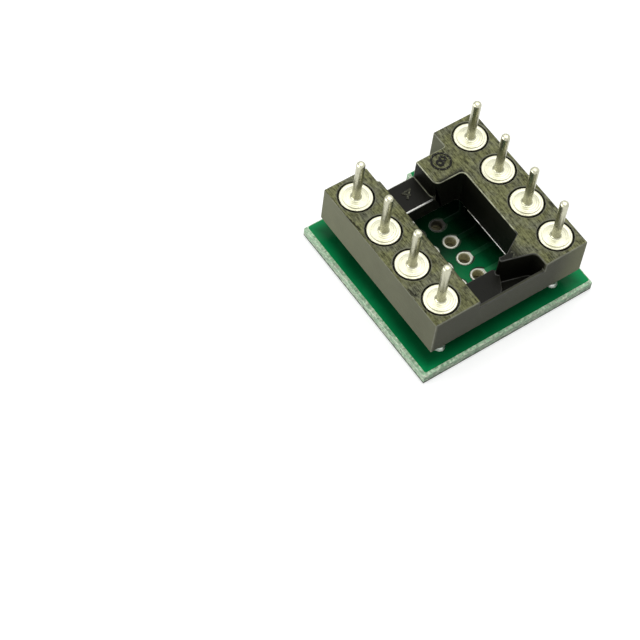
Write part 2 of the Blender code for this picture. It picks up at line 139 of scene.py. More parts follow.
# Moulded frame, with X from its middle
WINDOW_X = 2.12
BLOCK_SIDE_X = 0.28
BLOCK_FAR_Y = 4.0
SHELF_FRONT_Y = 2.15
SHELF_DROP = 1.3
SHELF_TOP = FRAME_TOP - SHELF_DROP
WELD = 0.0005
FLASH_SPAN_Y = (1.2, -2.3)
FLASH_LIFT = 0.03
FLASH_WIDTH = 0.06
FLASH_HEIGHT = 0.03

# Plain marks on the frame and by the first finger: place, height, and turn in degrees
BLOCK_MARK = ((FRAME_SHIFT_X + 1.45, 3.3, FRAME_TOP), 0.72, -60)
SHELF_MARK = ((FRAME_SHIFT_X - 0.75, 3.2, SHELF_TOP), 0.75, -45)
RIDGE_MARK = ((FRAME_SHIFT_X + 1.12, -3.62, FRAME_TOP), 0.4, -20)
FINGER_MARK = ((4.35, 1.9, -0.01), 0.95, 0)
BLOCK_RING_RADIUS = 0.6
BLOCK_RING_WIDTH = 0.12
MARK_RISE = 0.05
RIDGE_MARK_RISE = 0.04
FINGER_MARK_RISE = 0.018
FONT_SIZE = 1.4  # of a digit as high as 1

# Soft steps of the painted light, shade and highlights along one axis, on the frame, the upper mask
# and the plated holes
GUSSET_PAINTED_LIGHT_X = (1.1, 1.9)
GUSSET_PAINTED_LIGHT_Y = (-2.2, -1.8)
NEAR_FACE_PAINTED_LIGHT_X = (2.6, 4.9)
WINDOW_EDGE_HIGHLIGHT_Y = (-2.5, -2.2)
SHELF_EDGE_Y = (1.5, 1.7)
FLASH_FADE_Y = (0.2, 1.2)
WINDOW_PAINTED_SHADOW_Y = (-1.9, 0.7)
GUSSET_SHADE_X = (1.2, 2.0)
GUSSET_SHADE_Y = (-2.6, -1.8)
UNDER_FRAME_X = (3.4, 3.8)
UNDER_FRAME_Y = (4.0, 4.5)
NEAR_SHADE_X = (3.6, 5.2)
HOLE_PAINTED_SHADOW_Y = (0.4, 1.5)
HOLE_PAINTED_SHADOW_Z = (0.05, 0.3)

# Scuffs along the rails' outer top edges: x, lowest y, highest y and slant
NICKS = (
    (FRAME_LOW.x + 0.14, 1.85, 3.15, -0.1),
    (FRAME_LOW.x + 0.2, -3.1, -2.3, -0.1),
    (FRAME_HIGH.x - 0.14, -2.4, -1.8, 0.0),
)

# Stage: each softbox has its azimuth, elevation, and width and height in mm
WHITE = (1.0, 1.0, 1.0)
FLOOR_REACH = 3000
FLOOR_DROP = 0.05
FLOOR_COLOUR = (0.75, 0.75, 0.75)
# Painted shade: the floor under the board is dark, fading in over COVER_FADE inside its edges
FLOOR_PAINTED_SHADE_COLOUR = (0.16, 0.15, 0.09)
COVER_FADE = 0.4  # inside the board's edges
NOTCH_FADE = 0.3
FLOOR_GLOW = 0.5
LAMP_DISTANCE = 300
LEFT_SOFTBOX = (-108, 9, (320, 90))
BACK_SOFTBOX = (122, 80, (360, 360))

# The camera that took the photograph
CAMERA_AZIMUTH = -41.560
CAMERA_ELEVATION = 57.298
CAMERA_ROLL = 8.150
CAMERA_DISTANCE = 121.287
CAMERA_ASIDE = (7.200, 5.521)
CAMERA_FOCUS = 2285.99
IMAGE_SIDE = 640
SENSOR_WIDTH = 36


class Wire:
    """One output of a node, with arithmetic that adds Math nodes."""

    def __init__(self, graph, socket):
        self.graph = graph
        self.socket = socket

    def math(self, operation, other=0.0, reflected=False):
        pair = (other, self) if reflected else (self, other)
        return self.graph.node("ShaderNodeMath", {"operation": operation}, dict(enumerate(pair)))

    def __add__(self, other):
        return self.math("ADD", other)

    def __radd__(self, other):
        return self.math("ADD", other, True)

    def __sub__(self, other):
        return self.math("SUBTRACT", other)

    def __rsub__(self, other):
        return self.math("SUBTRACT", other, True)

    def __mul__(self, other):
        return self.math("MULTIPLY", other)

    def __rmul__(self, other):
        return self.math("MULTIPLY", other, True)

    def __truediv__(self, other):
        return self.math("DIVIDE", other)

    def __rtruediv__(self, other):
        return self.math("DIVIDE", other, True)

    def __mod__(self, other):
        return self.math("FLOORED_MODULO", other)

    def __abs__(self):
        return self.math("ABSOLUTE")

    def root(self):
        return self.math("SQRT")

    def larger(self, other):
        return self.math("MAXIMUM", other)

    def between(self, low, high):
        """0 below the low value and 1 above the high one, with a smooth step between them."""
        values = {0: self, 1: low, 2: high}
        return self.graph.node("ShaderNodeMapRange", {"interpolation_type": "SMOOTHSTEP"}, values)


class Graph:
    """A node tree that grows by one method."""

    def __init__(self, tree):
        self.tree = tree

    def node(self, kind, settings=None, inputs=None, output=0):
        made = self.tree.nodes.new(kind)
        for key, value in (settings or {}).items():
            setattr(made, key, value)
        for key, value in (inputs or {}).items():
            self.feed(made.inputs[key], value)
        return Wire(self, made.outputs[output])

    def feed(self, socket, value):
        if isinstance(value, Wire):
            self.tree.links.new(value.socket, socket)
        elif socket.type == "RGBA":
            socket.default_value = (*value, 1.0)
        else:
            socket.default_value = value

    def parts(self, vector, count=3):
        return [self.node("ShaderNodeSeparateXYZ", None, {0: vector}, i) for i in range(count)]

    def mix(self, share, first, second):
        values = {0: share, 6: first, 7: second}
        return self.node("ShaderNodeMix", {"data_type": "RGBA"}, values, 2)

    def split_by_view(self, hidden, seen, end):
        """Ends in one shader for lighting, and one for the camera, mirrors and clear pieces."""
        paths = ("Is Camera Ray", "Is Glossy Ray", "Is Transmission Ray")
        camera, glossy, clear = (self.node("ShaderNodeLightPath", output=path) for path in paths)
        values = {0: camera + glossy + clear, 1: hidden, 2: seen}
        chosen = self.node("ShaderNodeMixShader", None, values)
        self.feed(self.tree.nodes[end].inputs["Surface"], chosen)


class Finish(Graph):
    """One Principled surface whose patterns read the object's own place in millimetres."""

    def __init__(self, name, metallic=0.0, specular=0.5):
        self.material = bpy.data.materials.new(name)
        self.material.use_nodes = True
        super().__init__(self.material.node_tree)
        self.shader = self.tree.nodes["Principled BSDF"]
        self.shader.inputs["Metallic"].default_value = metallic
        self.shader.inputs["Specular IOR Level"].default_value = specular
        metres = self.node("ShaderNodeTexCoord", output="Object")
        scaled = {0: metres, "Scale": 1 / MM}
        self.place = self.node("ShaderNodeVectorMath", {"operation": "SCALE"}, scaled)

    def axes(self):
        return self.parts(self.place)

    def noise(self, per_mm, detail=3.0, stretch=(1.0, 1.0, 1.0), rough=0.55):
        """Noise with so many cells to the millimetre, squeezed by a factor along each axis."""
        vector = self.node("ShaderNodeMapping", None, {"Vector": self.place, "Scale": stretch})
        values = {"Vector": vector, "Scale": per_mm, "Detail": detail, "Roughness": rough}
        return self.node("ShaderNodeTexNoise", None, values)

    def shade(self, colour, amount):
        """A colour scaled by a number that may vary over the surface."""
        grey = self.node("ShaderNodeCombineXYZ", None, {0: amount, 1: amount, 2: amount})
        settings = {"operation": "MULTIPLY"}
        return self.node("ShaderNodeVectorMath", settings, {0: colour, 1: grey})

    def set(self, **values):
        for key, value in values.items():
            self.feed(self.shader.inputs[key.replace("_", " ")], value)

    def bump(self, *layers):
        """Bumps on bumps, each of a height wire and its depth in millimetres."""
        normal = None
        for height, depth in layers:
            values = {"Height": height, "Distance": depth * MM, "Strength": 1.0}
            if normal:
                values["Normal"] = normal
            normal = self.node("ShaderNodeBump", None, values)
        self.set(Normal=normal)


def nearest(x, y, row_x, pitch):
    """The place from the nearest axis in two rows: outwards along X, along Y, and the distance."""
    aside = abs(x) - row_x
    along = (y % pitch) - pitch / 2
    return aside, along, (aside * aside + along * along).root()


def plastic_finish(colour):
    """Black moulded plastic: mottled painted light on the rails' tops and outer walls, smoother and
    dark with painted shade inside.

    Scuffs lie along the rails' outer edges, and a painted highlight shines on the far shelf's
    rounded front edge.
    """
    made = Finish("moulded_plastic", specular=0.1)
    x, y, z = made.axes()
    cloud = made.noise(0.9, 4.0)
    fleck = made.noise(5.5, 3.0, rough=0.75)
    grain = made.noise(22.0, 2.0)
    flow = made.noise(6.0, 3.0, stretch=(2.2, 0.3, 1.0), rough=0.65)
    across = x - FRAME_SHIFT_X
    aside = abs(across)
    on_top = z.between(FRAME_TOP - 0.12, FRAME_TOP - 0.02)

    # Painted light: pale on the tops of the rails, the far block and the gusset, on the outer long
    # walls (paler towards +Y) and on the end faces (the near one paler towards +X); elsewhere dark
    # with painted shade
    rail = aside.between(WINDOW_X - 0.05, WINDOW_X + 0.1)
    block = across.between(BLOCK_SIDE_X + 0.02, BLOCK_SIDE_X + 0.14)
    block = block * y.between(SHELF_FRONT_Y + 0.05, SHELF_FRONT_Y + 0.35)
    gusset = (across + 0.5 * (cloud - 0.5)).between(*GUSSET_PAINTED_LIGHT_X)
    gusset = gusset * (1.0 - y.between(*GUSSET_PAINTED_LIGHT_Y))
    sides = aside.between(FRAME_HALF.x - 0.2, FRAME_HALF.x - 0.1)
    sides = sides * (0.72 + 0.28 * y.between(-FRAME_HALF.y, FRAME_HALF.y))
    far_end = 0.85 * y.between(BLOCK_FAR_Y - 0.1, BLOCK_FAR_Y + 0.05)
    near_end = (0.0 - y).between(FRAME_HALF.y - 0.2, FRAME_HALF.y - 0.1)
    near_end = near_end * (0.35 + 1.2 * x.between(*NEAR_FACE_PAINTED_LIGHT_X))
    painted_light = on_top * rail.larger(block).larger(gusset)
    painted_light = painted_light.larger(sides.larger(far_end).larger(near_end))

    nick = 0.0
    for edge_x, low_y, high_y, slant in NICKS:
        off = abs(x - edge_x - slant * (y - low_y) + 0.2 * (fleck - 0.5))
        span = y.between(low_y, low_y + 0.15) * (1.0 - y.between(high_y - 0.15, high_y))
        nick = nick + span * (1.0 - off.between(0.02, 0.08)) * on_top
    # Painted highlight: a pale, metallic line along the far shelf's rounded front edge
    past, below = y - SHELF_FRONT_Y, SHELF_TOP - z
    crest = (1.0 - abs(past - below).between(0.05, 0.09)) * (1.0 - past.between(0.09, 0.12))
    crest = crest * (1.0 - across.between(BLOCK_SIDE_X - 0.08, BLOCK_SIDE_X + 0.07)) * (1.0 - rail)

    olive = (colour[0], colour[1], colour[2] * 0.7)
    warm = made.mix(on_top * cloud.between(0.3, 0.6), colour, olive)
    speckle = 0.75 * fleck.between(0.34, 0.68) + 1.3 * flow.between(0.3, 0.7) - 0.25
    # Tops a little dimmer than the walls, and all but the painted light at 0.045 of the colour:
    # painted shade
    tone = (0.8 + 0.3 * cloud + on_top * (1.05 * speckle - 0.55)) * (1.0 - 0.2 * on_top)
    tone = (0.045 + 0.955 * painted_light) * tone * (1.0 - 0.8 * nick)
    made.set(Base_Color=made.mix(crest, made.shade(warm, tone), (0.85, 0.85, 0.8)))
    made.set(Roughness=0.34 + 0.14 * fleck + 0.2 * painted_light, Metallic=0.8 * crest)
    made.bump((flow, 0.015), (fleck * on_top, 0.03), (grain, 0.006), (nick, -0.03))
    return made.material


def edge_finish(colour):
    """Rounded edges: worn smoother, darkened inside the window with painted shade, with painted
    highlights on its edges and on the flash at its foot.
    """
    made = Finish("rubbed_edge")
    x, y, z = made.axes()
    wear_and_highlight = made.noise(1.6, 4.0, rough=0.7).between(0.35, 0.65)
    fleck = made.noise(7.0, 2.0)
    # Painted shade darkens the edges inside the window; painted highlights brighten them past the
    # near crossbar, less by the shelf
    inner = 1.0 - abs(x - FRAME_SHIFT_X).between(WINDOW_X + 0.02, WINDOW_X + 0.2)
    window = inner * y.between(*WINDOW_EDGE_HIGHLIGHT_Y)
    shelf = window * (1.0 - z.between(SHELF_TOP + 0.2, SHELF_TOP + 0.4)) * y.between(*SHELF_EDGE_Y)
    # Painted highlight on the flash at the window's foot, pale and metallic, fading towards the far
    # end
    foot = window * (1.0 - z.between(FRAME_LOW.z + 0.1, FRAME_LOW.z + 0.2))
    foot = foot * (0.3 + wear_and_highlight) * (1.0 - 0.6 * y.between(*FLASH_FADE_Y))
    tone = (0.45 + 0.4 * wear_and_highlight + 0.3 * fleck) * (1.0 - 0.85 * inner)
    tone = tone + window * (0.7 + 2.2 * wear_and_highlight) * (1.0 - 0.5 * shelf)
    made.set(Base_Color=made.mix(foot, made.shade(colour, tone), (0.9, 0.9, 0.86)))
    made.set(Roughness=0.42 - 0.14 * wear_and_highlight + 0.1 * fleck, Metallic=0.8 * foot)
    made.bump((fleck, 0.01))
    return made.material


def mark_finish(name, colour, tone):
    """Moulded strokes: darker or paler than the plastic round them, with a few scuffs."""
    made = Finish(name, specular=0.12)
    fleck = made.noise(9.0, 3.0)
    made.set(Base_Color=made.shade(colour, tone + 1.2 * fleck.between(0.55, 0.72)))
    made.set(Roughness=0.36 + 0.2 * fleck)
    made.bump((fleck, 0.01))
    return made.material


def mask_finish(name, colour):
    """Green solder mask: a glossy film with faint orange peel and small pits.

    On the upper face it is plain near the board's edges, with painted shade round and under the
    frame, and a painted shadow that deepens towards the far end of the window and along its +X wall.
    """
    made = Finish(name, specular=0.06)
    x, y, z = made.axes()
    cloud = made.noise(0.5, 3.0)
    peel = made.noise(4.0, 2.0)
    pits = made.noise(14.0, 2.0).between(0.62, 0.75)
    across = x - FRAME_SHIFT_X
    on_top = z.between(0.1, 0.3)
    outside = (abs(across) - FRAME_HALF.x).larger(abs(y) - FRAME_HALF.y)
    # Painted shade: darker round and under the frame and on the near strip; inside the window a
    # painted shadow deepens towards the far end and by the +X wall
    unshaded = (outside + 0.3 * (cloud - 0.5)).between(-0.25, 0.6).larger(1.0 - on_top)
    near_end = (0.0 - y).between(FRAME_HALF.y - 0.2, FRAME_HALF.y)
    near_end = near_end * (1.0 - abs(across).between(*NEAR_SHADE_X))
    unshaded = unshaded * (1.0 - 0.5 * near_end * on_top)
    painted_shade = 0.72 - 0.65 * (y + 0.8 * (cloud - 0.5)).between(*WINDOW_PAINTED_SHADOW_Y)
    gusset = across.between(*GUSSET_SHADE_X) * y.between(*GUSSET_SHADE_Y)
    painted_shade = painted_shade * (1.0 - 0.7 * gusset)
    under = abs(across).between(*UNDER_FRAME_X).larger(abs(y).between(*UNDER_FRAME_Y))
    painted_shade = painted_shade + (0.42 - painted_shade) * under
    tone = 0.95 + 0.3 * cloud - 0.12 * pits
    made.set(Base_Color=made.shade(colour, tone * (painted_shade + (1.1 - painted_shade) * unshaded)))
    made.set(Roughness=0.2 + 0.12 * cloud + 0.15 * pits)
    made.bump((peel, 0.006), (pits, -0.002))
    return made.material


def laminate_finish(colour):
    """Glass-fibre laminate: pale strands in layers, darker towards the bottom of the edges, and top
    and bottom faces dark with painted shade.
    """
    made = Finish("glass_fibre", specular=0.4)
    x, y, z = made.axes()
    strand = made.noise(15.0, 3.0, stretch=(0.35, 0.35, 1.2), rough=0.7)
    dash = made.noise(4.0, 2.0, stretch=(1.0, 1.0, 2.5))
    layer = abs(((z / BOARD_TOP) * 4.0) % 1.0 - 0.5).between(0.08, 0.42)
    # Darker towards the bottom of the edges
    low_darkening = 1.0 - (z + 0.3 * (dash - 0.5)).between(0.08, 0.17)
    rim = z.between(BOARD_TOP - 0.1, BOARD_TOP - 0.05)
    tone = 0.45 + 0.85 * strand.between(0.36, 0.62) + 0.35 * layer * dash + 0.4 * rim
    pale = made.mix(dash.between(0.35, 0.75), colour, (0.5, 0.55, 0.43))
    aged = made.mix(0.85 * low_darkening, made.shade(pale, tone), (0.03, 0.03, 0.02))
    # Painted shade: the top and bottom faces, seen in the gaps round the pads, are dark
    face = z.between(BOARD_TOP - 0.01, BOARD_TOP - 0.004) + (1.0 - z.between(0.004, 0.01))
    inside = 1.0 - abs(x).larger(abs(y)).between(BOARD_HIGH.y - 0.6, BOARD_HIGH.y - 0.4)
    made.set(Base_Color=made.mix(face * inside, aged, (0.012, 0.035, 0.012)))
    made.set(Roughness=0.45 + 0.3 * strand)
    made.bump((strand, 0.03), (layer, 0.01))
    return made.material


def pin_finish(colour):
    """Dull tin on turned metal: streaks along the tails, tool marks and stains on the discs."""
    made = Finish("turned_tin", metallic=1.0)
    x, y, z = made.axes()
    _, along, radius = nearest(x - FRAME_SHIFT_X, y, PIN_ROW_X, PIN_PITCH)
    on_disc = radius.between(TAIL_RADIUS + 0.02, TAIL_RADIUS + 0.12)
    on_tip = z.between(PIN_HIGH.z - TIP_ROUNDING - 0.05, PIN_HIGH.z - TIP_ROUNDING + 0.05)
    streak = made.noise(16.0, 2.0, stretch=(1.0, 1.0, 0.06))
    stain = made.noise(2.6, 4.0, rough=0.7)
    speck = made.noise(13.0, 1.0).between(0.68, 0.74)
    faint = made.noise(1.7, 2.0).between(0.4, 0.58) * (0.35 - along).between(0.4, 0.9)
    rings = (radius * 48.0 + 3.0 * stain).math("SINE")
    # Tails a little darker than the discs and tips: painted shade
    tone = 0.97 - (1.0 - on_disc) * (0.06 - 0.06 * on_tip)
    tone = tone - 0.5 * (1.0 - on_disc) * (0.5 - streak) - 0.2 * stain.between(0.5, 0.75)
    tone = tone - 0.35 * speck * on_disc - 0.3 * rings * faint * on_disc
    made.set(Base_Color=made.shade(colour, tone))
    made.set(Roughness=0.2 + 0.16 * stain + 0.1 * on_disc)
    made.bump((rings * on_disc, 0.0012), (streak * (1.0 - on_disc), 0.012), (stain, 0.01))
    return made.material


def tin_finish(name, colour, roughness):
    """Hot tin over copper: bright, with slow swells and a few dull patches."""
    made = Finish(name, metallic=1.0)
    swell = made.noise(3.0, 2.0)
    dull = made.noise(9.0, 3.0)
    made.set(Base_Color=made.shade(colour, 0.88 + 0.16 * swell - 0.2 * dull.between(0.55, 0.8)))
    made.set(Roughness=roughness + 0.2 * dull - 0.06)
    made.bump((swell, 0.02), (dull, 0.003))
    return made.material


def solder_finish(colour):
    """Solder: a painted glint at the foot on the near, +X side, and dark with painted shade
    elsewhere.
    """
    made = Finish("solder", metallic=1.0)
    x, y, z = made.axes()
    swell = made.noise(3.0, 2.0)
    outwards, along, _ = nearest(x - FRAME_SHIFT_X, y, PIN_ROW_X, PIN_PITCH)
    foot = 1.0 - z.between(SOLDER_LOW.z + 0.15, SOLDER_LOW.z + 0.19)
    # Painted glint on the foot's near, +X side; the low tone elsewhere is painted shade
    painted_glint = (outwards * x.math("SIGN") - along).between(0.1, 0.35)
    made.set(Base_Color=made.shade(colour, 0.3 + 0.65 * foot * painted_glint + 0.1 * swell))
    made.set(Roughness=0.22 + 0.2 * swell)
    made.bump((swell, 0.02))
    return made.material


def hole_finish(colour):
    """Plated holes: pale matt tin on top, bright metal below, stains inside the bore, and painted
    shadow towards the far end.
    """
    made = Finish("tinned_hole")
    x, y, z = made.axes()
    _, _, radius = nearest(x, y, VIA_COLUMN_X, VIA_PITCH)
    bore = 1.0 - radius.between(VIA_BORE + 0.01, VIA_BORE + 0.035)
    lower = 1.0 - z.between(-0.01, 0.02)
    swell = made.noise(5.0, 2.0)
    stain = made.noise(9.0, 3.0, rough=0.7)
    ring = made.mix(lower, (1.0, 1.0, 0.86), colour)
    ring = made.shade(ring, 1.0 - 0.12 * stain.between(0.55, 0.8))
    dull = made.shade((0.75, 0.72, 0.46), 0.3 + 1.3 * stain)
    # Painted shadow: darker towards the far end of the window, mostly on the upper rings
    painted_shadow = y.between(*HOLE_PAINTED_SHADOW_Y) * (1.0 - 0.8 * (1.0 - z.between(*HOLE_PAINTED_SHADOW_Z)))
    made.set(Base_Color=made.shade(made.mix(bore, ring, dull), 1.0 - 0.93 * painted_shadow))
    made.set(Roughness=0.26 + 0.12 * swell + 0.3 * bore, Metallic=lower)
    made.bump((swell, 0.02), (stain * bore, 0.02))
    return made.material


def linked(name, data):
    made = bpy.data.objects.new(name, data)
    bpy.context.scene.collection.objects.link(made)
    return made


def keep(mesh, name, nodes=()):
    """Links a mesh as a piece on the one body and the nodes that it replaces."""
    mesh.name = name
    piece = linked(name, mesh)
    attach(piece, "root")
    if nodes:
        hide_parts(*nodes)


def baked(source, to_metres=True):
    """The evaluated mesh of an object, which is then removed."""
    bpy.context.view_layer.update()
    depsgraph = bpy.context.evaluated_depsgraph_get()
    mesh = bpy.data.meshes.new_from_object(source.evaluated_get(depsgraph))
    mesh.transform(source.matrix_world)
    if to_metres:
        mesh.transform(Matrix.Scale(MM, 4))
    bpy.data.objects.remove(source)
    return mesh


def with_surface(mesh, surface):
    mesh.materials.clear()
    mesh.materials.append(surface)
    return mesh


def numbered(stem):
    return [f"{stem}_{i + 1}" for i in range(PIN_COUNT)]


def places(row_x, end_y, middle_x=0.0):
    """Places in two rows, up the +X row and then up the -X row."""
    rise = [end_y * (2 * i / (PER_ROW - 1) - 1) for i in range(PER_ROW)]
    return [(middle_x + side * row_x, y) for side in (1, -1) for y in rise]


def bow(centre, radius, start, end, steps):
    """Points along an arc, with angles in degrees and both ends included."""
    turns = [math.radians(start + (end - start) * i / steps) for i in range(steps + 1)]
    return [(centre[0] + radius * math.cos(t), centre[1] + radius * math.sin(t)) for t in turns]


def oval(centre, half_width, half_length):
    turns = [math.tau * i / TURNED_SIDES for i in range(TURNED_SIDES)]
    x, y = centre
    return [(x + half_width * math.cos(t), y + half_length * math.sin(t)) for t in turns]


def rim_toward(goal, pad, radius):
    """The place on a round pad's rim that faces a goal."""
    pad, goal = Vector(pad), Vector(goal)
    return tuple(pad + (goal - pad).normalized() * radius)


def finger_pad(side, y, grow=0.0):
    """The outline of a contact finger: square inner end and round outer end."""
    wide = FINGER_WIDTH / 2 + grow
    tip_x = FINGER_INNER_X + FINGER_LENGTH - FINGER_WIDTH / 2
    inner = FINGER_INNER_X - grow
    outline = [(inner, -wide)] + bow((tip_x, 0.0), wide, -90, 90, 12) + [(inner, wide)]
    return [(side * px, y + side * py) for px, py in outline]


def board_edge(inset, shift=0.0):
    """The board's outline with its notch, drawn in by an inset and shifted along X and Y."""
    side_x = BOARD_HIGH.x - inset - BOARD_CORNER
    end_y = BOARD_HIGH.y - inset - BOARD_CORNER

    def corner(x, y, start):
        return bow((x, y), BOARD_CORNER, start, start + 90, 5)

    start = math.degrees(math.asin(inset / (NOTCH_RADIUS + inset)))
    outline = corner(-side_x, -end_y, 180) + corner(side_x, -end_y, 270) + corner(side_x, end_y, 0)
    outline += bow((0.0, BOARD_HIGH.y), NOTCH_RADIUS + inset, -start, -180 + start, NOTCH_STEPS)
    outline += corner(-side_x, end_y, 90)
    return [(x + shift, y + shift) for x, y in outline]


def flat_piece(loops, low, high, rounding):
    """A flat plate in XY with holes, its edges rounded, as a mesh in metres."""
    curve = bpy.data.curves.new("outline", "CURVE")
    curve.dimensions = "2D"
    curve.fill_mode = "BOTH"
    curve.extrude = (high - low) / 2 - rounding
    curve.bevel_depth = rounding
    curve.bevel_resolution = 1
    curve.offset = -rounding
    for loop in loops:
        spline = curve.splines.new("POLY")
        spline.points.add(len(loop) - 1)
        spline.use_cyclic_u = True
        for point, (x, y) in zip(spline.points, loop):
            point.co = (x, y, 0.0, 1.0)
    plate = linked("plate", curve)
    plate.location.z = (low + high) / 2
    return baked(plate)


def turned(profile, sides, stretch=None):
    """A turned mesh in metres from a profile of (radius, z) down its outside, solid or as a tube.

    The stretch gives factors on the radius along X and Y, from the profile's index and the angle.
    """
    mesh = bmesh.new()
    rings = []
    for index, (radius, z) in enumerate(profile):
        ring = []
        for i in range(sides if radius > 0 else 1):
            turn = math.tau * i / sides
            factor_x, factor_y = stretch(index, turn) if stretch else (1.0, 1.0)
            x, y = radius * factor_x * math.cos(turn), radius * factor_y * math.sin(turn)
            ring.append(mesh.verts.new(Vector((x, y, z)) * MM))
        rings.append(ring)
    pairs = list(zip(rings, rings[1:]))
    if len(rings[0]) > 1 and len(rings[-1]) > 1:
        pairs.append((rings[-1], rings[0]))
    for above, below in pairs:
        for i in range(sides):
            j = (i + 1) % sides
            corners = (above[i % len(above)], below[i % len(below)])
            corners += (below[j % len(below)], above[j % len(above)])
            mesh.faces.new(list(dict.fromkeys(corners)))
    data = bpy.data.meshes.new("turned")
    mesh.to_mesh(data)
    mesh.free()
    data.shade_smooth()
    data.set_sharp_from_angle(angle=math.radians(50))
    return data


class Group(Graph):
    """A Geometry Nodes group with named inputs, whose result has one surface."""

    def __init__(self, name, surface, inputs):
        super().__init__(bpy.data.node_groups.new(name, "GeometryNodeTree"))
        self.tree.is_modifier = True
        self.surface = surface
        self.values = {}
        self.add_socket("Geometry", "Geometry")
        for label, (kind, value) in {**inputs, "Surface": ("Material", surface)}.items():
            self.values[self.add_socket(label, kind)] = value
        self.add_socket("Geometry", "Geometry", "OUTPUT")
        self.start = self.tree.nodes.new("NodeGroupInput")

    def add_socket(self, label, kind, way="INPUT"):
        interface = self.tree.interface
        made = interface.new_socket(label, in_out=way, socket_type=f"NodeSocket{kind}")
        return made.identifier

    def __getitem__(self, label):
        return Wire(self, self.start.outputs[label])

    def run(self, result, mesh, to_metres):
        """Ends the group in its result, and gives what it makes of a mesh as a plain mesh."""
        values = {0: result, "Material": self["Surface"]}
        dressed = self.node("GeometryNodeSetMaterial", None, values)
        self.feed(self.tree.nodes.new("NodeGroupOutput").inputs["Geometry"], dressed)
        source = linked("source", mesh)
        modifier = source.modifiers.new(self.tree.name, "NODES")
        modifier.node_group = self.tree
        for identifier, value in self.values.items():
            modifier[identifier] = value
        return with_surface(baked(source, to_metres), self.surface)


def rows_of(mesh, row_x, end_y, surface, facing=False, twist=0.0, middle_x=0.0):
    """Two rows of copies of a mesh, each turned by chance up to a twist, as one mesh in metres."""
    inputs = {
        "Row Spacing": ("Float", 2 * row_x * MM),
        "Row Length": ("Float", 2 * end_y * MM),
        "Pieces per Row": ("Int", PER_ROW),
        "Twist": ("Float", twist),
        "Face Outwards": ("Float", float(facing)),
    }
    group = Group("Two Rows", surface, inputs)
    sizes = {"Size X": group["Row Spacing"], "Size Y": group["Row Length"]}
    counts = {"Vertices X": 2, "Vertices Y": group["Pieces per Row"]}
    grid = group.node("GeometryNodeMeshGrid", None, {**sizes, **counts})
    across = group.parts(group.node("GeometryNodeInputPosition"), 1)[0]
    limits = {2: 0.0, 3: group["Twist"], "Seed": 7}
    chance = group.node("FunctionNodeRandomValue", {"data_type": "FLOAT"}, limits, 1)
    turn = across.math("LESS_THAN", 0.0) * math.pi * group["Face Outwards"] + chance
    rotation = group.node("ShaderNodeCombineXYZ", None, {2: turn})
    values = {"Points": grid, "Instance": group["Geometry"], "Rotation": rotation}
    copies = group.node("GeometryNodeInstanceOnPoints", None, values)
    real = group.node("GeometryNodeRealizeInstances", None, {0: copies})
    rows = group.run(real, mesh, to_metres=False)
    rows.transform(Matrix.Translation((middle_x * MM, 0.0, 0.0)))
    return rows


def ridges(paths, z, width, height, bend, surface):
    """Low rounded ridges along flat paths, as one plain mesh in metres."""
    inputs = {
        "Width": ("Float", width),
        "Height": ("Float", height),
        "Bend Radius": ("Float", bend),
    }
    group = Group("Ridges", surface, inputs)
    lines = group.node("GeometryNodeMeshToCurve", None, {"Mesh": group["Geometry"]})
    values = {"Curve": lines, "Radius": group["Bend Radius"], "Limit Radius": True}
    bent = group.node("GeometryNodeFilletCurve", None, values)
    upright = group.node("GeometryNodeSetCurveNormal", {"mode": "Z_UP"}, {"Curve": bent})
    values = {"Resolution": 14, "Radius": 1.0}
    circle = group.node("GeometryNodeCurvePrimitiveCircle", None, values)
    values = {0: group["Width"] * 0.5, 1: group["Height"], 2: 1.0}
    size = group.node("ShaderNodeCombineXYZ", None, values)
    section = group.node("GeometryNodeTransform", None, {"Geometry": circle, "Scale": size})
    values = {"Curve": upright, "Profile Curve": section, "Fill Caps": True}
    tube = group.node("GeometryNodeCurveToMesh", None, values)
    data = bpy.data.meshes.new("paths")
    points, edges = [], []
    for path in paths:
        edges += [(len(points) + i, len(points) + i + 1) for i in range(len(path) - 1)]
        points += [(x, y, z) for x, y in path]
    data.from_pydata(points, edges, [])
    mesh = group.run(tube, data, to_metres=True)
    mesh.shade_smooth()
    return mesh


VIA_PLACES = places(VIA_COLUMN_X, VIA_END_Y)
PIN_PLACES = places(PIN_ROW_X, PIN_END_Y, FRAME_SHIFT_X)
FINGER_SIDES = places(1, FINGER_END_Y)  # side and y


LENGTH = {"min": 0.0, "unit": "LENGTH", "precision": 6}
COLOUR = {"min": 0.0, "max": 1.0, "subtype": "COLOR"}


class AdapterSizes(bpy.types.PropertyGroup):
    mask_thickness: FloatProperty(
        name="Mask Thickness",
        description="Thickness of the solder mask on both faces",
        default=0.02 * MM,
        **LENGTH,
    )
    mask_setback: FloatProperty(
        name="Mask Setback",
        description="How far the upper mask stops short of the board's edges",
        default=0.12 * MM,
        **LENGTH,
    )
    mask_clearance: FloatProperty(
        name="Mask Clearance",
        description="Bare laminate left round each pad",
        default=0.06 * MM,
        **LENGTH,
    )
    trace_height: FloatProperty(
        name="Trace Height",
        description="How far the masked traces stand up",
        default=0.045 * MM,
        **LENGTH,
    )
    frame_edge: FloatProperty(
        name="Frame Edge",
        description="Rounding on the moulded frame's edges",
        default=0.05 * MM,
        **LENGTH,
    )
    tin_height: FloatProperty(
        name="Tin Height",
        description="How far the tin on fingers and rings stands up",
        default=0.025 * MM,
        **LENGTH,
    )
    number: IntProperty(name="Mould Number", description="Plain number on the far block", default=8)


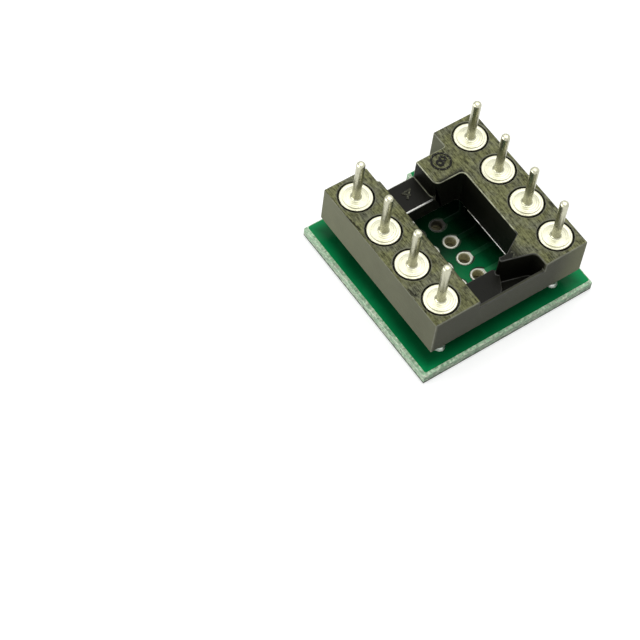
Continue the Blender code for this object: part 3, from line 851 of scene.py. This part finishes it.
class AdapterColours(bpy.types.PropertyGroup):
    mask: FloatVectorProperty(
        name="Mask", description="Colour of the solder mask", default=(0.003, 0.25, 0.075), **COLOUR
    )
    laminate: FloatVectorProperty(
        name="Laminate",
        description="Colour of the glass-fibre edges",
        default=(0.26, 0.42, 0.27),
        **COLOUR,
    )
    plastic: FloatVectorProperty(
        name="Plastic", description="Colour of the frame", default=(0.16, 0.165, 0.108), **COLOUR
    )
    pin: FloatVectorProperty(
        name="Pin", description="Colour of the turned pins", default=(0.56, 0.555, 0.42), **COLOUR
    )
    tin: FloatVectorProperty(
        name="Tin",
        description="Colour of the tinned fingers and rings",
        default=(0.95, 0.92, 0.72),
        **COLOUR,
    )
    solder: FloatVectorProperty(
        name="Solder",
        description="Colour of the solder at the pins' feet",
        default=(0.93, 0.93, 0.9),
        **COLOUR,
    )


class AdapterLight(bpy.types.PropertyGroup):
    left: FloatProperty(
        name="Left", description="Power of the left softbox", default=0.6, min=0.0, unit="POWER"
    )
    back: FloatProperty(
        name="Back", description="Power of the high softbox", default=0.8, min=0.0, unit="POWER"
    )
    sky: FloatProperty(name="Sky", description="Strength of the even light", default=0.22, min=0.0)


def size_of(context, key):
    """A size from the panel, in millimetres."""
    return getattr(context.scene.adapter_sizes, key) / MM


def colour_of(context, key):
    return tuple(getattr(context.scene.adapter_colours, key))


class ADAPTER_OT_laminate(bpy.types.Operator):
    """Give the board its glass-fibre surface"""

    bl_idname = "adapter.laminate"
    bl_label = "Laminate"

    def execute(self, context):
        surface = laminate_finish(colour_of(context, "laminate"))
        with_surface(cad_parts["board"].data, surface)
        return {"FINISHED"}


class ADAPTER_OT_foils(bpy.types.Operator):
    """Give the foil lands and fingers their tinned surface"""

    bl_idname = "adapter.foils"
    bl_label = "Foils"

    def execute(self, context):
        surface = tin_finish("tinned_foil", colour_of(context, "tin"), 0.3)
        for name in numbered("land") + numbered("finger"):
            with_surface(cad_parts[name].data, surface)
        return {"FINISHED"}


class ADAPTER_OT_masks(bpy.types.Operator):
    """Lay the green solder mask on both faces, open over the pads"""

    bl_idname = "adapter.masks"
    bl_label = "Solder Masks"

    def execute(self, context):
        surface = mask_finish("solder_mask", colour_of(context, "mask"))
        thick, gap = size_of(context, "mask_thickness"), size_of(context, "mask_clearance")
        half_width = UPPER_RING + gap + RING_TEARDROP / 2
        upper = [board_edge(size_of(context, "mask_setback"), MASK_SHIFT)]
        for x, y in VIA_PLACES:
            middle_x = x + math.copysign(RING_TEARDROP / 2, x)
            upper.append(oval((middle_x, y), half_width, UPPER_RING + gap))
        foot = (SOLDER_HIGH - SOLDER_LOW) / 2
        for place in PIN_PLACES:
            upper.append(oval(place, foot.x - MASK_OVERLAP, foot.y - MASK_OVERLAP))
        top = flat_piece(upper, BOARD_TOP, BOARD_TOP + thick, thick / 3)
        keep(with_surface(top, surface), "upper_mask")
        lower = [board_edge(LOWER_MASK_SETBACK)]
        lower += [oval(place, LOWER_RING + gap, LOWER_RING + gap) for place in VIA_PLACES]
        lower += [finger_pad(side, y, gap) for side, y in FINGER_SIDES]
        bottom = flat_piece(lower, -thick, 0.0, thick / 3)
        keep(with_surface(bottom, surface), "lower_mask")
        return {"FINISHED"}


class ADAPTER_OT_traces(bpy.types.Operator):
    """Raise the masked copper traces on both faces"""

    bl_idname = "adapter.traces"
    bl_label = "Traces"

    def execute(self, context):
        colour = tuple(1.5 * part + 0.045 for part in colour_of(context, "mask"))
        surface = mask_finish("mask_over_copper", colour)
        height, gap = size_of(context, "trace_height"), size_of(context, "mask_clearance")
        paths = []
        for (via_x, via_y), place in zip(VIA_PLACES, PIN_PLACES):
            side = math.copysign(1.0, via_x)
            start = (via_x + side * (UPPER_RING + gap), via_y)
            bend = (side * TRACE_TURN_X, via_y)
            paths.append([start, bend, rim_toward(bend, place, LAND_HALF_WIDTH)])
        mesh = ridges(paths, BOARD_TOP, UPPER_TRACE_WIDTH, height, UPPER_TRACE_BEND, surface)
        keep(mesh, "upper_traces")
        paths = []
        for place, (side, y) in zip(VIA_PLACES, FINGER_SIDES):
            neck = (side * (FINGER_INNER_X - gap), y)
            paths.append([rim_toward(neck, place, LOWER_RING + gap), neck])
        mesh = ridges(paths, 0.0, LOWER_TRACE_WIDTH, height, LOWER_TRACE_BEND, surface)
        keep(mesh, "lower_traces")
        return {"FINISHED"}


class ADAPTER_OT_fingers(bpy.types.Operator):
    """Coat the contact fingers with rounded tin"""

    bl_idname = "adapter.fingers"
    bl_label = "Contact Fingers"

    def execute(self, context):
        surface = tin_finish("tinned_finger", colour_of(context, "tin"), 0.28)
        high = size_of(context, "tin_height")
        middle_x = FINGER_INNER_X + FINGER_LENGTH / 2
        outline = [(x - middle_x, y) for x, y in finger_pad(1, 0.0)]
        pad = flat_piece([outline], -high, FINGER_ROOT, high / 3)
        mesh = rows_of(pad, middle_x, FINGER_END_Y, surface, facing=True)
        keep(mesh, "finger_tin")
        return {"FINISHED"}


class ADAPTER_OT_plated_holes(bpy.types.Operator):
    """Line the holes and put a tinned ring on each face"""

    bl_idname = "adapter.plated_holes"
    bl_label = "Plated Holes"

    def execute(self, context):
        surface = hole_finish(colour_of(context, "tin"))
        rise = size_of(context, "tin_height")
        top, outer = BOARD_TOP, VIA_BORE + VIA_WALL
        crown = (VIA_BORE + UPPER_RING) / 2
        upper_ring = [
            (crown - RING_CROWN, top + rise * 1.1),
            (crown + RING_CROWN, top + rise * 1.1),
            (UPPER_RING - RING_EDGE, top + rise * 0.6),
            (UPPER_RING, top - RING_EDGE),
        ]
        lower_ring = [
            (LOWER_RING, RING_EDGE),
            (LOWER_RING - RING_EDGE, -rise * 0.5),
            (LOWER_RING - RING_SHOULDER, -rise),
            (VIA_BORE + RING_SHOULDER, -rise),
            (VIA_BORE + RING_EDGE, -rise * 0.4),
        ]
        profile = [(VIA_BORE + RING_EDGE, top + rise * 0.6), *upper_ring]
        profile += [(outer, top - RING_ROOT), (outer, RING_ROOT), *lower_ring]
        profile += [(VIA_BORE, z) for z in (RING_ROOT, top / 2, top - RING_ROOT)]

        def teardrop(index, turn):
            reach = RING_TEARDROP / UPPER_RING * max(0.0, math.cos(turn)) ** 6
            factor = 1.0 + (reach if profile[index] in upper_ring else 0.0)
            return factor, factor

        hole = turned(profile, TURNED_SIDES, teardrop)
        mesh = rows_of(hole, VIA_COLUMN_X, VIA_END_Y, surface, facing=True)
        keep(mesh, "plated_holes", numbered("via"))
        return {"FINISHED"}


class ADAPTER_OT_solder(bpy.types.Operator):
    """Pour the solder mounds round the pins' feet"""

    bl_idname = "adapter.solder"
    bl_label = "Solder Mounds"

    def execute(self, context):
        surface = solder_finish(colour_of(context, "solder"))
        half = (SOLDER_HIGH - SOLDER_LOW) / 2
        low, high = SOLDER_LOW.z, SOLDER_HIGH.z
        inner = STEM_RADIUS + SOLDER_GAP
        crest = inner + SOLDER_CREST
        shoulder = (half.x - SOLDER_SKIRT / 3, half.y - SOLDER_SKIRT)
        stations = [(inner, inner, high)]
        for i in range(SOLDER_STEPS + 1):
            t = math.pi / 2 * (1 - i / SOLDER_STEPS)
            sides = [crest + (side - crest) * math.cos(t) for side in shoulder]
            rise = low + SOLDER_SKIRT + (high - low - SOLDER_SKIRT) * math.sin(t)
            stations.append((*sides, rise))
        stations += [(half.x, half.y, low + SOLDER_RIM), (half.x, half.y, low), (inner, inner, low)]

        def lengthen(index, turn):
            half_width, half_length, _ = stations[index]
            return 1.0, half_length / half_width

        profile = [(half_width, z) for half_width, _, z in stations]
        mound = turned(profile, TURNED_SIDES, lengthen)
        mesh = rows_of(mound, PIN_ROW_X, PIN_END_Y, surface, middle_x=FRAME_SHIFT_X)
        keep(mesh, "solder_mounds", numbered("solder"))
        return {"FINISHED"}


class ADAPTER_OT_pins(bpy.types.Operator):
    """Turn the eight pins, with round tips, filleted roots and tool marks"""

    bl_idname = "adapter.pins"
    bl_label = "Turned Pins"

    def execute(self, context):
        surface = pin_finish(colour_of(context, "pin"))
        tip, disc = PIN_HIGH.z, FRAME_TOP
        disc_low, barrel_low = disc - DISC_THICKNESS, FRAME_LOW.z - BARREL_DROP
        rounding = bow((TAIL_RADIUS - TIP_ROUNDING, tip - TIP_ROUNDING), TIP_ROUNDING, 90, 0, 6)
        tail = [(TAIL_RADIUS, tip - drop) for drop in TAIL_RINGS]
        root = bow((TAIL_RADIUS + ROOT_FILLET, disc + ROOT_FILLET), ROOT_FILLET, 180, 270, 6)
        groove = [
            (TOOL_RING_RADIUS - TOOL_RING_HALF_WIDTH, disc),
            (TOOL_RING_RADIUS, disc - TOOL_RING_DEPTH),
            (TOOL_RING_RADIUS + TOOL_RING_HALF_WIDTH, disc),
        ]
        edge = bow((DISC_RADIUS - DISC_EDGE, disc - DISC_EDGE), DISC_EDGE, 90, 0, 4)
        barrel = [
            (DISC_RADIUS, disc_low + DISC_CHAMFER),
            (DISC_RADIUS - DISC_CHAMFER, disc_low),
            (BARREL_RADIUS, disc_low),
            (BARREL_RADIUS, barrel_low + BARREL_EDGE),
            (BARREL_RADIUS - BARREL_EDGE, barrel_low),
        ]
        stem = [(STEM_RADIUS, barrel_low), (STEM_RADIUS, PIN_LOW.z), (0.0, PIN_LOW.z)]
        profile = [(0.0, tip), *rounding, *tail, *root, *groove, *edge, *barrel, *stem]
        pin = turned(profile, PIN_SIDES)
        rows = (PIN_ROW_X, PIN_END_Y, surface)
        mesh = rows_of(pin, *rows, twist=math.tau, middle_x=FRAME_SHIFT_X)
        keep(mesh, "turned_pins", numbered("pin"))
        return {"FINISHED"}


class ADAPTER_OT_socket_frame(bpy.types.Operator):
    """Mould the socket frame with rounded edges, and the flash along the window's foot"""

    bl_idname = "adapter.socket_frame"
    bl_label = "Socket Frame"

    def merged_copy(self):
        """The frame's solid in millimetres, with its triangles joined into flat faces."""
        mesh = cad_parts["socket_frame"].data.copy()
        mesh.transform(Matrix.Scale(1 / MM, 4))
        shell = bmesh.new()
        shell.from_mesh(mesh)
        bmesh.ops.remove_doubles(shell, verts=shell.verts, dist=WELD)
        flat = math.radians(1.0)
        bmesh.ops.dissolve_limit(shell, angle_limit=flat, verts=shell.verts, edges=shell.edges)
        shell.to_mesh(mesh)
        shell.free()
        return mesh

    def execute(self, context):
        colour = colour_of(context, "plastic")
        mesh = with_surface(self.merged_copy(), plastic_finish(colour))
        edge_highlight = edge_finish(colour)
        mesh.materials.append(edge_highlight)
        mesh.shade_smooth()
        source = linked("source", mesh)
        bevel = source.modifiers.new("edge", "BEVEL")
        bevel.material = 1
        bevel.width = size_of(context, "frame_edge")
        bevel.segments = 2
        bevel.limit_method = "ANGLE"
        bevel.angle_limit = math.radians(40)
        bevel.use_clamp_overlap = False
        smooth = source.modifiers.new("shading", "WEIGHTED_NORMAL")
        smooth.weight = 80
        keep(baked(source), "moulded_frame", ["socket_frame"])
        line = [(FRAME_SHIFT_X + WINDOW_X, y) for y in FLASH_SPAN_Y]
        foot = FRAME_LOW.z + FLASH_LIFT
        flash = ridges([line], foot, FLASH_WIDTH, FLASH_HEIGHT, bend=0.01, surface=edge_highlight)
        keep(flash, "mould_flash")
        return {"FINISHED"}


class ADAPTER_OT_marks(bpy.types.Operator):
    """Raise the plain mould marks on the crossbars and the first finger's number under the mask"""

    bl_idname = "adapter.marks"
    bl_label = "Mould Marks"

    def glyph(self, text, place, height, degrees, rise, flip=False, swell=0.01):
        curve = bpy.data.curves.new("glyph", "FONT")
        curve.body = text
        curve.size = height * FONT_SIZE
        curve.align_x = "CENTER"
        curve.align_y = "CENTER"
        curve.extrude = rise
        curve.offset = swell
        made = linked("glyph", curve)
        turn = Matrix.Rotation(math.radians(degrees), 4, "Z")
        over = Matrix.Rotation(math.pi if flip else 0.0, 4, "Y")
        made.matrix_world = Matrix.Translation(place) @ turn @ over
        return baked(made)

    def ring(self, radius, width, place, rise):
        loops = [oval((0, 0), side, side) for side in (radius, radius - width)]
        mesh = flat_piece(loops, -rise, rise, rise / 3)
        mesh.transform(Matrix.Translation(Vector(place) * MM))
        return mesh

    def joined(self, meshes, surface):
        shell = bmesh.new()
        for mesh in meshes:
            shell.from_mesh(mesh)
        data = bpy.data.meshes.new("marks")
        shell.to_mesh(data)
        shell.free()
        return with_surface(data, surface)

    def execute(self, context):
        colour = colour_of(context, "plastic")
        dark, pale = mark_finish("dark_mark", colour, 0.03), mark_finish("pale_mark", colour, 0.25)
        number = str(context.scene.adapter_sizes.number)
        marks = [
            self.ring(BLOCK_RING_RADIUS, BLOCK_RING_WIDTH, BLOCK_MARK[0], MARK_RISE),
            self.glyph(number, *BLOCK_MARK, MARK_RISE, swell=0.02),
        ]
        keep(self.joined(marks, dark), "block_mark")
        marks = [
            self.glyph("4", *SHELF_MARK, MARK_RISE),
            self.glyph("2", *RIDGE_MARK, RIDGE_MARK_RISE),
        ]
        keep(self.joined(marks, pale), "bar_marks")
        one = self.glyph("1", *FINGER_MARK, FINGER_MARK_RISE, flip=True)
        copper = bpy.data.materials["mask_over_copper"]
        keep(with_surface(one, copper), "first_finger_mark")
        return {"FINISHED"}


def toward(azimuth, elevation):
    """The direction from the object to a viewer, in degrees, with the azimuth from -Y to +X."""
    a, e = math.radians(azimuth), math.radians(elevation)
    return Vector((math.sin(a) * math.cos(e), -math.cos(a) * math.cos(e), math.sin(e)))


class ADAPTER_OT_stage(bpy.types.Operator):
    """Set the pale floor, the soft lights and the camera"""

    bl_idname = "adapter.stage"
    bl_label = "Stage"

    def floor(self):
        """A floor that looks white round the board and in its notch, and dark with painted shade
        under it.
        """
        material = bpy.data.materials.new("pale_floor")
        material.use_nodes = True
        graph = Graph(material.node_tree)
        graph.tree.nodes.remove(graph.tree.nodes["Principled BSDF"])
        x, y = graph.parts(graph.node("ShaderNodeTexCoord", output="Object"), 2)
        off_x, off_y = abs(x) - BOARD_HIGH.x * MM, abs(y) - BOARD_HIGH.y * MM
        away = (x * x + off_y * off_y).root()
        notch = 1.0 - away.between((NOTCH_RADIUS - NOTCH_FADE) * MM, NOTCH_RADIUS * MM)
        open_floor = off_x.larger(off_y).between(-COVER_FADE * MM, 0.0).larger(notch)
        colour = graph.mix(open_floor, FLOOR_PAINTED_SHADE_COLOUR, FLOOR_COLOUR)
        matt = graph.node("ShaderNodeBsdfDiffuse", None, {"Color": colour})
        glow = graph.node("ShaderNodeEmission", None, {"Strength": FLOOR_GLOW * open_floor})
        both = graph.node("ShaderNodeAddShader", None, {0: matt, 1: glow})
        graph.split_by_view(matt, both, "Material Output")
        mesh = bpy.data.meshes.new("floor")
        reach, low = FLOOR_REACH * MM, -FLOOR_DROP * MM
        corners = [(x * reach, y * reach, low) for x, y in ((-1, -1), (1, -1), (1, 1), (-1, 1))]
        mesh.from_pydata(corners, [], [(0, 1, 2, 3)])
        linked("floor", with_surface(mesh, material))

    def world(self, strength):
        """Even light, which is white where the camera sees it."""
        world = bpy.data.worlds.new("studio")
        bpy.context.scene.world = world
        world.use_nodes = True
        graph = Graph(world.node_tree)
        graph.tree.nodes.remove(graph.tree.nodes["Background"])
        soft, white = (
            graph.node("ShaderNodeBackground", None, {"Color": WHITE, "Strength": level})
            for level in (strength, 1.0)
        )
        graph.split_by_view(soft, white, "World Output")

    def softbox(self, name, azimuth, elevation, size, watts):
        """A lamp that looks at the middle of the board."""
        data = bpy.data.lights.new(name, "AREA")
        data.shape = "RECTANGLE"
        data.size, data.size_y = (side * MM for side in size)
        data.energy = watts
        lamp = linked(name, data)
        back = toward(azimuth, elevation)
        lamp.location = back * LAMP_DISTANCE * MM
        lamp.rotation_mode = "QUATERNION"
        lamp.rotation_quaternion = (-back).to_track_quat("-Z", "Y")

    def camera(self):
        a, r = math.radians(CAMERA_AZIMUTH), math.radians(CAMERA_ROLL)
        back = toward(CAMERA_AZIMUTH, CAMERA_ELEVATION)
        level = Vector((math.cos(a), math.sin(a), 0.0))
        rise = back.cross(level)
        right = math.cos(r) * level + math.sin(r) * rise
        up = -math.sin(r) * level + math.cos(r) * rise
        place = back * CAMERA_DISTANCE - right * CAMERA_ASIDE[0] - up * CAMERA_ASIDE[1]
        place += Vector((FRAME_SHIFT_X, 0.0, FRAME_TOP))
        data = bpy.data.cameras.new("camera")
        data.sensor_width = SENSOR_WIDTH
        data.lens = CAMERA_FOCUS / IMAGE_SIDE * SENSOR_WIDTH
        data.clip_start = 0.001
        camera = linked("camera", data)
        turn = Matrix((right, up, back)).transposed().to_4x4()
        camera.matrix_world = Matrix.Translation(place * MM) @ turn
        bpy.context.scene.camera = camera

    def execute(self, context):
        light = context.scene.adapter_light
        self.floor()
        self.world(light.sky)
        self.softbox("left_softbox", *LEFT_SOFTBOX, light.left)
        self.softbox("back_softbox", *BACK_SOFTBOX, light.back)
        self.camera()
        context.scene.view_settings.view_transform = "Standard"
        return {"FINISHED"}


MAKERS = (
    ADAPTER_OT_laminate,
    ADAPTER_OT_foils,
    ADAPTER_OT_masks,
    ADAPTER_OT_traces,
    ADAPTER_OT_fingers,
    ADAPTER_OT_plated_holes,
    ADAPTER_OT_solder,
    ADAPTER_OT_pins,
    ADAPTER_OT_socket_frame,
    ADAPTER_OT_marks,
    ADAPTER_OT_stage,
)


class ADAPTER_PT_panel(bpy.types.Panel):
    """Sizes, colours and makers of the adapter's looks"""

    bl_idname = "ADAPTER_PT_panel"
    bl_label = "Socket Adapter"
    bl_space_type = "VIEW_3D"
    bl_region_type = "UI"
    bl_category = "Adapter"

    def draw(self, context):
        scene = context.scene
        for group in (scene.adapter_sizes, scene.adapter_colours, scene.adapter_light):
            box = self.layout.box()
            for key in group.__annotations__:
                box.prop(group, key)
        for maker in MAKERS:
            self.layout.operator(maker.bl_idname)


GROUPS = {
    "adapter_sizes": AdapterSizes,
    "adapter_colours": AdapterColours,
    "adapter_light": AdapterLight,
}


CLASSES = (*GROUPS.values(), *MAKERS, ADAPTER_PT_panel)


def register():
    for item in CLASSES:
        bpy.utils.register_class(item)
    for name, group in GROUPS.items():
        setattr(bpy.types.Scene, name, PointerProperty(type=group))


def unregister():
    for name in GROUPS:
        delattr(bpy.types.Scene, name)
    for item in reversed(CLASSES):
        bpy.utils.unregister_class(item)


def main():
    register()
    for maker in MAKERS:
        getattr(bpy.ops.adapter, maker.bl_idname.split(".")[1])()


if __name__ == "__main__":
    main()
